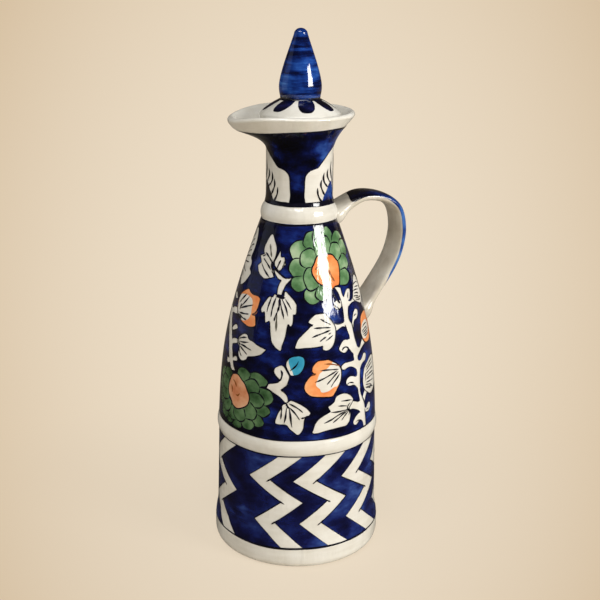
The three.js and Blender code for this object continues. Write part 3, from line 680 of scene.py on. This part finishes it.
VINE = """
cream: 37,144.2! 40.5,144.5 44.5,143.5! 45,141 46,138.6 49.5,136.8 50.5,134.6 48.6,132.2 47.6,129.3 48.3,126.6
 50.3,125.6 50.6,121 51.8,117 52.8,113 52.2,110 51.7,106.6 54,103.5 52.9,98.5 52,92 52.4,89.2 54.6,86.5 57,83 57.2,79
 58,74.5 58.4,70.5! 55,70.5! 54.2,74.5 53.2,78 52,81.5 51.6,84.8 50,88 49.1,92 48.6,95 49.5,99 49.2,101.5 47.4,105.5
 46.9,110.5 45.9,115 45.2,119.5 43.4,123.3 41.8,127 42.2,131 42.4,135 41.8,138.5 40,141.5 / 42,137.5! 38,138.5 34,137.5
 32.5,135.5 35,133.8 39,133.6 41.8,134.5! / 42.5,127.3! 36.5,126.6 31.5,127.5! 31,124! 33.5,123.9 38.5,125.3 42,124.5!
 / 46,118.6! 42.5,118.3 39.5,119 36.8,118.2 34.5,116.6 32.6,115 34,113.6 36.5,112.4 39.3,112.2 41.2,113.3 43.2,114
 45,112.2! 46.8,111! / 48,107.4! 44,107.3 40,107.6 37.5,107.7 35,107 33.6,105.9 34.4,104.4 37,103.9 39.5,104.7 43,104.9
 46.5,103.7! 49.5,102.5! / 50.3,99.6! 47.5,98.6 45,99.9 42,100.4 39.5,99.9 37.6,98.6 37.2,97 38.8,95.7 41.5,95.1
 44.5,95.2 46.8,94.2! 48.8,92.5! / 52.5,85.2! 48.5,85.5 44,87! 41.5,86.6 38.8,84.5 39,83.2 44.5,82.5 48.5,81 52.9,78.6!
 / 54,79.6! 51,79.3 48.5,79.1 45.8,78.2 43.6,76.4 43.2,74.9 44.8,73.5 47.5,73.4 49,74.5 51.5,75.2 54,73.8 56.5,71.5! /
 46,138.2! 48.3,140.2 51.5,141.8 54.8,142.2 57.6,141.6 57.4,140 55.6,138.2 54,136.9 51.5,136.6 50,136! / 49.5,136.9!
 53,135.9 56.5,136.2 59.5,137.5 63,137! 63,134.6! 57.5,134.9 53,134.3 50,133.8! / 50.5,125.5! 51.8,126.8 53.4,128.8
 56,130.9 59.2,131.6 62.2,130.9 63,129.6 61,127.6 58,126.4 55,126.4 53.2,125.5 51.3,122! / 52.5,113.5! 55.5,112.2
 58,114 61.5,116.2 65,116.6! 65,113! 60.5,112 56,110.8 52,108.5! / 51.8,106.4! 55,105.8 57.5,107.2 60.2,108.9 63,108.6
 64.6,107.4 63.6,105.8 61.6,104.4 59,104.3 56,103.6 53.8,102! / 57,80.8! 59,79.2 61,81.6 64,82.3 66.2,81 66.6,78.8
 64.5,77.2 61.5,76.9 58,77.6! / 54.6,86.9! 57,89.6 60,90 61.5,88! 58.5,85.8 57.2,83.2!
ink: .8 34.1,135.9 37,134.7 39.4,132.7 / 1.1 34.3,141.5 36.8,138.9 40.8,136.3 / .9 36.3,113.8 37.2,115 40.3,115.3
 42.5,114.2 43.1,112.7 / 38.5,96.4 40.5,97.1 43.5,96.6 45.4,95.9 / 46.2,75.1 48.5,75.6 51.5,75 54,73.7 / 51.5,137.3
 52.3,139 53.8,140.3 / 55,128.3 57.5,128.9 59.5,128.6 / 59.5,78.4 61,78.9 63,78.6

cream: 59,136.5! 61.5,138.9 64.5,141.5 68,144.2 72,146 77,146.5 82.5,144.8 86.5,141.5! 84,140.2! 87,137.5 83.5,134.5
 78.5,132.3 72,132 66,133.8 61.5,134.9
ink: 61.5,137.2 66,137 71.5,136 / 63.5,138.4 69,138.2 74,137 / 64,135.2 70,134.4 76,133.8 / 67,141 73,140.8 79,140 /
 63,139.6 69,139.8 77,138.6 / 66,142.4 72,143 79,142.2 / 64.5,136.2 71,135.2 79,135

orange: 60.8,119! 63,123.5 65.5,126.5 70,127.6 76,128 82,127 86.5,123.6 88,119.5 86,116 82,113.6 77,112.4 71,112.2
 66,112.8 62.5,115
bare: 61.2,118.6 64,121.8 68,123.2 74,123.6 80,122.4 82.5,119.8 80,117 74,115.4 67.5,114.6 63,115.6
ink: 63,119 69,119.8 76,119.6 / 64,117.4 70,117 76,117.6 / 65,121 71,121.8 77,121.4 / 63.5,118.2 70,118.4 78,118.6 /
 66,116.2 72,116 77,116.2

cream: 58.6,100.6! 61.5,102.2 66,103.4 72,104.8 78,104.6 84,102 88,98! 85,96.4! 88,93 84.5,89.8 78.5,87.2 72,85.6
 66.5,85.4 62,87.5 58.5,89.2 56.8,91 55.6,94 56.8,97.6
ink: 59.5,90.6 63,89.8 68.5,88.4 / 60,92 66,91 72,89 / 60.2,94 60.4,96 60.8,98 / 62,96 69,96.4 77,95.6 / 62,99 69,100.4
 76,100.6 / 60.5,93 67,92.4 75,91.6 / 61,94.6 69,94.6 79,94 / 61,97.6 69,98.2 77,98 / 62,100.6 69,102 76,102.6 /
 61,90.6 68,89.4 75,87.6
"""

HEARTS = {"green": (31.5, 152), "deep": (-48, 90.3)}
EDGES = {"cream": 0.5, "bare": 0, "turquoise": 0, "orange": 0.7, "rust": 0.7}
PETAL_EDGE, VEIN_WIDTH, BRUSH_SCALE = 0.65, 0.55, 0.88


def read_shapes(text):
    """A garden's shapes and brush lines, as zone() takes them."""
    shapes, lines = [], []
    for group, block in enumerate(text.split("\n\n")):
        for row in block.strip().replace("\n ", " ").splitlines():
            kind, motifs = row.split(":")
            for numbers in motifs.split("/"):
                if kind in HEARTS:
                    centre, half, tilt = [*numbers.split(), "0"][:3]
                    shape = petal(*read(f"{centre} {half}")[0], float(tilt), HEARTS[kind])
                    shapes.append((kind, shape, PETAL_EDGE, None))
                elif kind in EDGES:
                    own = None if kind in ("orange", "rust") else group
                    shapes.append(("cream" if kind == "bare" else kind, outline(numbers), EDGES[kind], own))
                else:
                    points = [word for word in numbers.split() if "," in word]
                    width = VEIN_WIDTH if numbers.split() == points else BRUSH_SCALE * float(numbers.split()[0])
                    lines.append((kind, line(" ".join(points)), width, len(shapes) - 1))
    return shapes, lines


shapes, lines = read_shapes(VINE + GARDEN)
both_lines = [
    (kind, p + (turn, 0), width, k + len(shapes) * (turn > 0)) for turn in (0, 180) for kind, p, width, k in lines
]
zone("garden", 70.0, 174.4, "cobalt", around(shapes, (0, 180)), both_lines, (3, 3))

# Rings of ink round the bottle: height and width.
RINGS = ((11.2, 0.9), (61.6, 0.7), (70.2, 0.8), (173.9, 1.3), (183.4, 2.0))
turns = np.linspace(SEAM, SEAM + 360, 181)
wave = 0.16 * np.sin(np.radians(3 * turns)) + 0.1 * np.sin(np.radians(7 * turns + 40))
rings = [(np.column_stack([turns, height + wave]), width, False) for height, width in RINGS]
ribbons("ink_rings", body_surface, outer_radius, rings, INK, "bottle", "painted_glaze")

# ---- the handle ----


def centripetal(points, steps):
    """Centripetal Catmull-Rom curve through the points, with even spacing."""
    p = [np.array(q, float) for q in points]
    p = [2 * p[0] - p[1], *p, 2 * p[-1] - p[-2]]
    fine = []
    for four in zip(p, p[1:], p[2:], p[3:]):
        k = [0.0]
        for a, b in zip(four, four[1:]):
            k.append(k[-1] + math.sqrt(np.linalg.norm(b - a)))
        for t in np.linspace(k[1], k[2], 24, endpoint=False):
            q = four
            for first, gap in ((0, 1), (0, 2), (1, 1)):
                ends = [(k[j], k[j + gap]) for j in range(first, first + len(q) - 1)]
                q = [((v - t) * a + (t - u) * b) / (v - u) for (u, v), a, b in zip(ends, q, q[1:])]
            fine.append(q[0])
    fine = np.array([*fine, p[-2]])
    along = np.concatenate([[0], np.cumsum(np.linalg.norm(np.diff(fine, axis=0), axis=1))])
    t = np.linspace(0, along[-1], steps + 1)
    return np.column_stack([np.interp(t, along, fine[:, k]) for k in (0, 1)]), t


HANDLE_TURN = 12
HANDLE_REACH = 55.25
HANDLE_ROOT_Z, HANDLE_RISE = 123, 60
# Points of the handle's middle line, as shares of its reach and of its height.
HANDLE_PATH = ((0.19, 0.95), (0.38, 0.997), (0.57, 0.997), (0.775, 0.96),
               (0.93, 0.877), (1, 0.7), (0.962, 0.53), (0.875, 0.395))
SIDES = 96
LOW_ROOT_R = float(outer_radius(HANDLE_ROOT_Z))
HANDLE_LINE, HANDLE_ALONG = centripetal(
    [
        (13.2, 171.4),
        *((18.9 + a * (HANDLE_REACH - 18.9), HANDLE_ROOT_Z + b * HANDLE_RISE) for a, b in HANDLE_PATH),
        (LOW_ROOT_R + 6.84, HANDLE_ROOT_Z + 10),
        (LOW_ROOT_R - 5.7, HANDLE_ROOT_Z - 7.5),
    ],
    150,
)
HANDLE_LENGTH = HANDLE_ALONG[-1]


def on_handle_line(along):
    return np.column_stack([np.interp(along, HANDLE_ALONG, HANDLE_LINE[:, k]) for k in (0, 1)])


def squared(v):
    return np.sign(v) * np.abs(v) ** 0.75


def handle_surface(turn, along):
    """A point on the handle: turn in degrees round its section, 90 on its outer face, and along in mm.

    Its ends stop inside the bottle's wall.
    """
    turn, along = np.radians(np.asarray(turn, float)), np.asarray(along, float)
    centre = on_handle_line(along)
    d = on_handle_line(along + 1) - on_handle_line(along - 1)
    d /= np.linalg.norm(d, axis=1)[:, None]
    out = np.column_stack([-d[:, 1], d[:, 0]])
    t = along / HANDLE_LENGTH
    growth = 1.2 * np.exp(-((np.minimum(t, 1 - t) / 0.1) ** 2))
    fillet = 1.4 * np.exp(-(((along - 6) / 4) ** 2)) + 1.6 * np.exp(-(((HANDLE_LENGTH - 9 - along) / 5) ** 2))
    thick = 2.4 + growth + 0.8 * fillet
    wide = 8.4 + growth + fillet
    off = thick * squared(np.sin(turn))
    x, y, z = centre[:, 0] + off * out[:, 0], wide * squared(np.cos(turn)), centre[:, 1] + off * out[:, 1]
    r = np.maximum(np.hypot(x, y), 1e-6)
    held = np.maximum(r, outer_radius(z) - 1.8) / r
    c, s = math.cos(math.radians(HANDLE_TURN)), math.sin(math.radians(HANDLE_TURN))
    return np.column_stack([(x * c - y * s) * held, (x * s + y * c) * held, z])


section = np.arange(SIDES) * 360 / SIDES
points = np.vstack([handle_surface(section, np.full(SIDES, s)) for s in HANDLE_ALONG])
faces = []
for a in range(len(points) - SIDES):
    b = a + 1 if (a + 1) % SIDES else a + 1 - SIDES
    faces.append([a, b, b + SIDES, a + SIDES])
faces += [list(range(SIDES))[::-1], list(range(len(points) - SIDES, len(points)))]
piece("handle_glazed", points, faces, SHADED_HANDLE_CREAM, "bottle", "cream_glaze", replaces=("handle",))

# The blue brushed band over the handle's outer face, as turn and distance along it.
HANDLE_BAND = """79,18.2 105,16.6 135,15.5 154,15.7 168,16.8! 172,21 171,26.5 173,29.7 176,33.6 181,38 187,42 190,46.5
  193,51 194,55 193,60 189,65 186,70 185,76 182,81 168,85 150,87.5! 120,88 80,86 50,82 35,76 28,66 26,50 28,36 32,26
  45,20.5 60,18.6"""
band = [("band", outline(HANDLE_BAND))]
film("handle", handle_surface, ((0, 10), (220, 95)), "cream", band, (4, 0.8), "bottle", "cream_glaze", 0.12)

# ---- the stopper ----


def by_radius(profile, r):
    """The height of a profile at a radius."""
    order = profile[:, 0].argsort()
    return np.interp(r, profile[order, 0], profile[order, 1])


LID_Z = float(by_radius(FLARE_INNER, 18.4)) + 0.3
LID_EDGE = 19.3
STEM_END = LID_Z - 36
GROOVE = (STEM_END + 4, STEM_END + 4 + 16.6)
DOME = curve([(LID_EDGE, LID_Z + 4.6), (14.9, 230.35), (9.6, 232.6)], 16)
lid_profile = path(
    (6, STEM_END),
    curve([(8.6, STEM_END), (9.6, STEM_END), (9.6, STEM_END + 1.2)], 5),
    (9.6, GROOVE[0]),
    (8.4, GROOVE[0]),
    (8.4, GROOVE[1]),
    (9.6, GROOVE[1]),
    curve([(9.6, LID_Z - 2), (9.6, LID_Z), (11.6, LID_Z)], 6),
    curve([(18.4, LID_Z), (19.3, LID_Z + 1.53), (20.65, LID_Z + 3.7), (LID_EDGE, LID_Z + 4.6)], 12),
    DOME[1:],
    (0, 232.6),
    (0, LID_Z + 5),
    curve([(0, LID_Z + 5), (6, LID_Z + 5), (6, LID_Z - 2)], 8),
    (6, STEM_END),
)
points, faces = lathe(lid_profile, 144)
piece("stopper_lid_glazed", points, faces, CREAM, "stopper", "lid_glaze", replaces=("stopper_lid",))

BELLY, TIP = 238.23, 265.65
knob_profile = path(
    (0, 232.6),
    (9.3, 232.6),
    curve([(9.6, 233.2), (10.4, 235.6), (10.4, BELLY)], 10),
    curve([(10.4, BELLY), (10.4, BELLY + 6.62), (3.57, TIP - 4.6), (3.1, TIP - 1.8)], 30),
    curve([(3.1, TIP - 1.8), (2.02, TIP), (0, TIP)], 10),
)
points, faces = lathe(knob_profile, 96)
piece("stopper_knob_glazed", points, faces, BRUSHED_BLUE, "stopper", "knob_glaze", replaces=("stopper_knob",))

low, inner, sleeve, fin = GROOVE[0] + 0.3, 8.7, 10.3, 12.28
FIN = ((sleeve, 1.9), (fin - 0.4, 2.4), (fin, 2.9), (fin, 3.4), (sleeve + 0.6, 3.6), (sleeve, 4.3))
gasket = [(inner, low), (sleeve, low)]
for z in (low, low + 16 / 3, low + 32 / 3):
    gasket += [(sleeve, z + 1.6), curve([(r, z + up) for r, up in FIN], 12)]
gasket += [(sleeve, low + 16), (inner, low + 16), (inner, low)]
points, faces = lathe(path(*gasket), 96)
piece("stopper_gasket_ring", points, faces, SILICONE, "seal", "gasket", replaces=("stopper_gasket",))


def knob_surface(angle, z):
    return turned(angle, np.interp(z, knob_profile[2:, 1], knob_profile[2:, 0]), z)


def dome_surface(angle, inward):
    """A point on the lid's dome, by angle and distance inward from its edge."""
    r = LID_EDGE - np.asarray(inward, float)
    return turned(angle, r, by_radius(DOME, r))


# Eight brushed petals round the knob: angle at the knob, angle at the tip, radius of the tip, half width.
LID_PETALS = ((-80, -82, 18.2, 3.7), (-30, -40, 17.8, 3.8), (15, 11, 17.9, 4.1), (56, 61, 17.7, 3.6),
              (104, 102, 17.8, 3.9), (150, 146, 18.0, 3.8), (193, 196, 17.6, 4.0), (238, 236, 17.9, 3.7))
petals = []
for foot, tip, reach, half_wide in LID_PETALS:
    share = np.array([0, 1, 2.5, 4.2, 5.8, 7.0, 7.7]) / 7.7
    r = 10.0 + share * (reach - 10.0)
    middle = foot + (tip - foot) * share
    spread = np.degrees(half_wide * np.array([0.80, 0.88, 0.97, 1.0, 0.93, 0.72, 0.42]) / r)
    edges = [np.column_stack([middle + side * spread, LID_EDGE - r]) for side in (-1, 1)]
    ring = np.vstack([edges[0], edges[1][::-1]])
    petals.append(("navy", soften(ring, [k in (0, len(ring) - 1) for k in range(len(ring))], closed=True)))
box = ((-120, 0.2), (260, LID_EDGE - 9.7))
film("lid", dome_surface, box, "cream", petals, (4, 1), "stopper", "lid_glaze", 0.25)

turns = np.linspace(0, 360, 121)
ring = (np.column_stack([turns, np.full(121, LID_EDGE - 10.1)]), 1.0, False)
ribbons("lid_ring", dome_surface, lambda inward: LID_EDGE - inward, [ring], INK, "stopper", "lid_glaze")
ring = (np.column_stack([turns, 233.15 + 0.12 * np.sin(np.radians(4 * turns))]), 0.9, False)
ribbons("knob_foot", knob_surface, lambda z: np.full(len(z), 10.0), [ring], INK, "stopper", "knob_glaze", 0.08)

# ---- camera ----

FORWARD = Vector((0.1657, 0.9397, -0.2990)).normalized()
RIGHT = Vector((0.9848, -0.1736, 0.0)).normalized()
UP = RIGHT.cross(FORWARD).normalized()
ROLL = math.radians(0.61)
x_axis = math.cos(ROLL) * RIGHT + math.sin(ROLL) * UP
y_axis = -math.sin(ROLL) * RIGHT + math.cos(ROLL) * UP
camera = link("camera", bpy.data.cameras.new("camera"))
camera.matrix_world = Matrix.Translation(Vector((-85.1, -488.0, 285.5)) * MM) @ Matrix(
    (x_axis, y_axis, -FORWARD)
).transposed().to_4x4()
camera.data.lens = 60.54
camera.data.sensor_width = 36
camera.data.clip_start = 0.01
scene.camera = camera

# ---- light ----


def lamp(name, at, target, size, power, colour=(1, 1, 1)):
    data = bpy.data.lights.new(name, "AREA")
    data.shape = "RECTANGLE"
    data.size, data.size_y = size
    data.energy = power
    data.color = colour
    obj = link(name, data)
    obj.location = at
    obj.rotation_euler = (Vector(target) - Vector(at)).to_track_quat("-Z", "Y").to_euler()


lamp("window", (0.86, -0.78, 0.53), (0, 0, 0.15), (0.46, 0.50), 11, (1.0, 0.99, 0.97))
lamp("front", (-0.35, -0.72, 1.58), (0, 0, 0.12), (1.3, 0.6), 14)
lamp("left_wall", (-1.25, 0.30, 0.35), (0, 0, 0.12), (0.9, 1.1), 0.6, (0.80, 0.86, 1.0))

# ---- floor and background ----

BACKDROP = ((0.856, 0.743, 0.589, 1), (0.681, 0.537, 0.370, 1))  # in the middle of the photo, and in its corners
ROOM = (0.05, 0.2)  # how much of the backdrop a reflection shows, in front of the bottle and behind it
EYE = (-0.0851, -0.488, 0.2855)


def backdrop(tree, direction):
    """The backdrop's colour: a soft glow in the direction that the photo was taken in, and duller around it."""
    forward, right, up = (dot(tree, direction, axis) for axis in (FORWARD, RIGHT, UP))
    ahead = calc(tree, "MAXIMUM", forward, 0.05)
    squares = []
    for part, weight in ((right, 1.0), (up, 0.69)):
        scaled = calc(tree, "MULTIPLY", calc(tree, "DIVIDE", part, ahead), weight)
        squares.append(calc(tree, "POWER", scaled, 2))
    away = remap(tree, calc(tree, "ADD", *squares), 0, 0.131, 0, 1)
    return add(tree, "Mix", "Result", {"Factor": away, "A": BACKDROP[0], "B": BACKDROP[1]}, data_type="RGBA")


def rays(tree, kind):
    return add(tree, "LightPath", kind)


def room(tree, vector, near, far):
    """The backdrop's strength: full for the camera, and dim in reflections, as in a dark room."""
    dim = remap(tree, dot(tree, vector, FORWARD), near, far, *ROOM)
    return calc(tree, "MAXIMUM", dim, rays(tree, "Is Camera Ray"))


def seen_directly(tree):
    """1 for camera, glossy and transmission rays, which all show the backdrop."""
    either = calc(tree, "MAXIMUM", rays(tree, "Is Camera Ray"), rays(tree, "Is Glossy Ray"))
    return calc(tree, "MAXIMUM", either, rays(tree, "Is Transmission Ray"))


world = bpy.data.worlds.new("world")
scene.world = world
world.use_nodes = True
tree = world.node_tree
where = add(tree, "TexCoord", "Generated")
back = tree.nodes["Background"]
fill(back, {"Color": backdrop(tree, where), "Strength": room(tree, where, 0.8, 0.97)})
soft = add(tree, "Background", "Background", {"Color": (0.94, 0.91, 0.86, 1), "Strength": 0.31})
chosen = add(tree, "MixShader", "Shader", {"Fac": seen_directly(tree), 1: soft, 2: back.outputs["Background"]})
fill(tree.nodes["World Output"], {"Surface": chosen})

floor_material = bpy.data.materials.new("floor")
floor_material.use_nodes = True
tree = floor_material.node_tree
shader = tree.nodes["Principled BSDF"]
fill(shader, {"Roughness": 0.8, "Specular IOR Level": 0.1, "Base Color": (0.80, 0.72, 0.61, 1)})
where = add(tree, "NewGeometry", "Position")
offset = add(tree, "VectorMath", "Vector", {0: where, 1: EYE}, operation="SUBTRACT")
direction = add(tree, "VectorMath", "Vector", {0: offset}, operation="NORMALIZE")
glow = add(tree, "Emission", "Emission", {"Color": backdrop(tree, direction), "Strength": room(tree, where, 0.05, 0.4)})
distance = add(tree, "VectorMath", "Value", {0: where}, operation="LENGTH")
# The floor keeps some of the object's shadow near it, and turns into the backdrop further out.
amount = calc(tree, "MULTIPLY", remap(tree, distance, 0.05, 0.22, 0.80, 1.0), seen_directly(tree))
amount = calc(tree, "MAXIMUM", amount, rays(tree, "Is Glossy Ray"))
mixed = add(tree, "MixShader", "Shader", {"Fac": amount, 1: shader.outputs["BSDF"], 2: glow})
fill(tree.nodes["Material Output"], {"Surface": mixed})
mesh = bpy.data.meshes.new("floor")
ring = [(3 * math.cos(a), 3 * math.sin(a), -0.0002) for a in np.radians(np.arange(0, 360, 5))]
mesh.from_pydata(ring, [], [list(range(len(ring)))])
mesh.materials.append(floor_material)
link("floor", mesh)
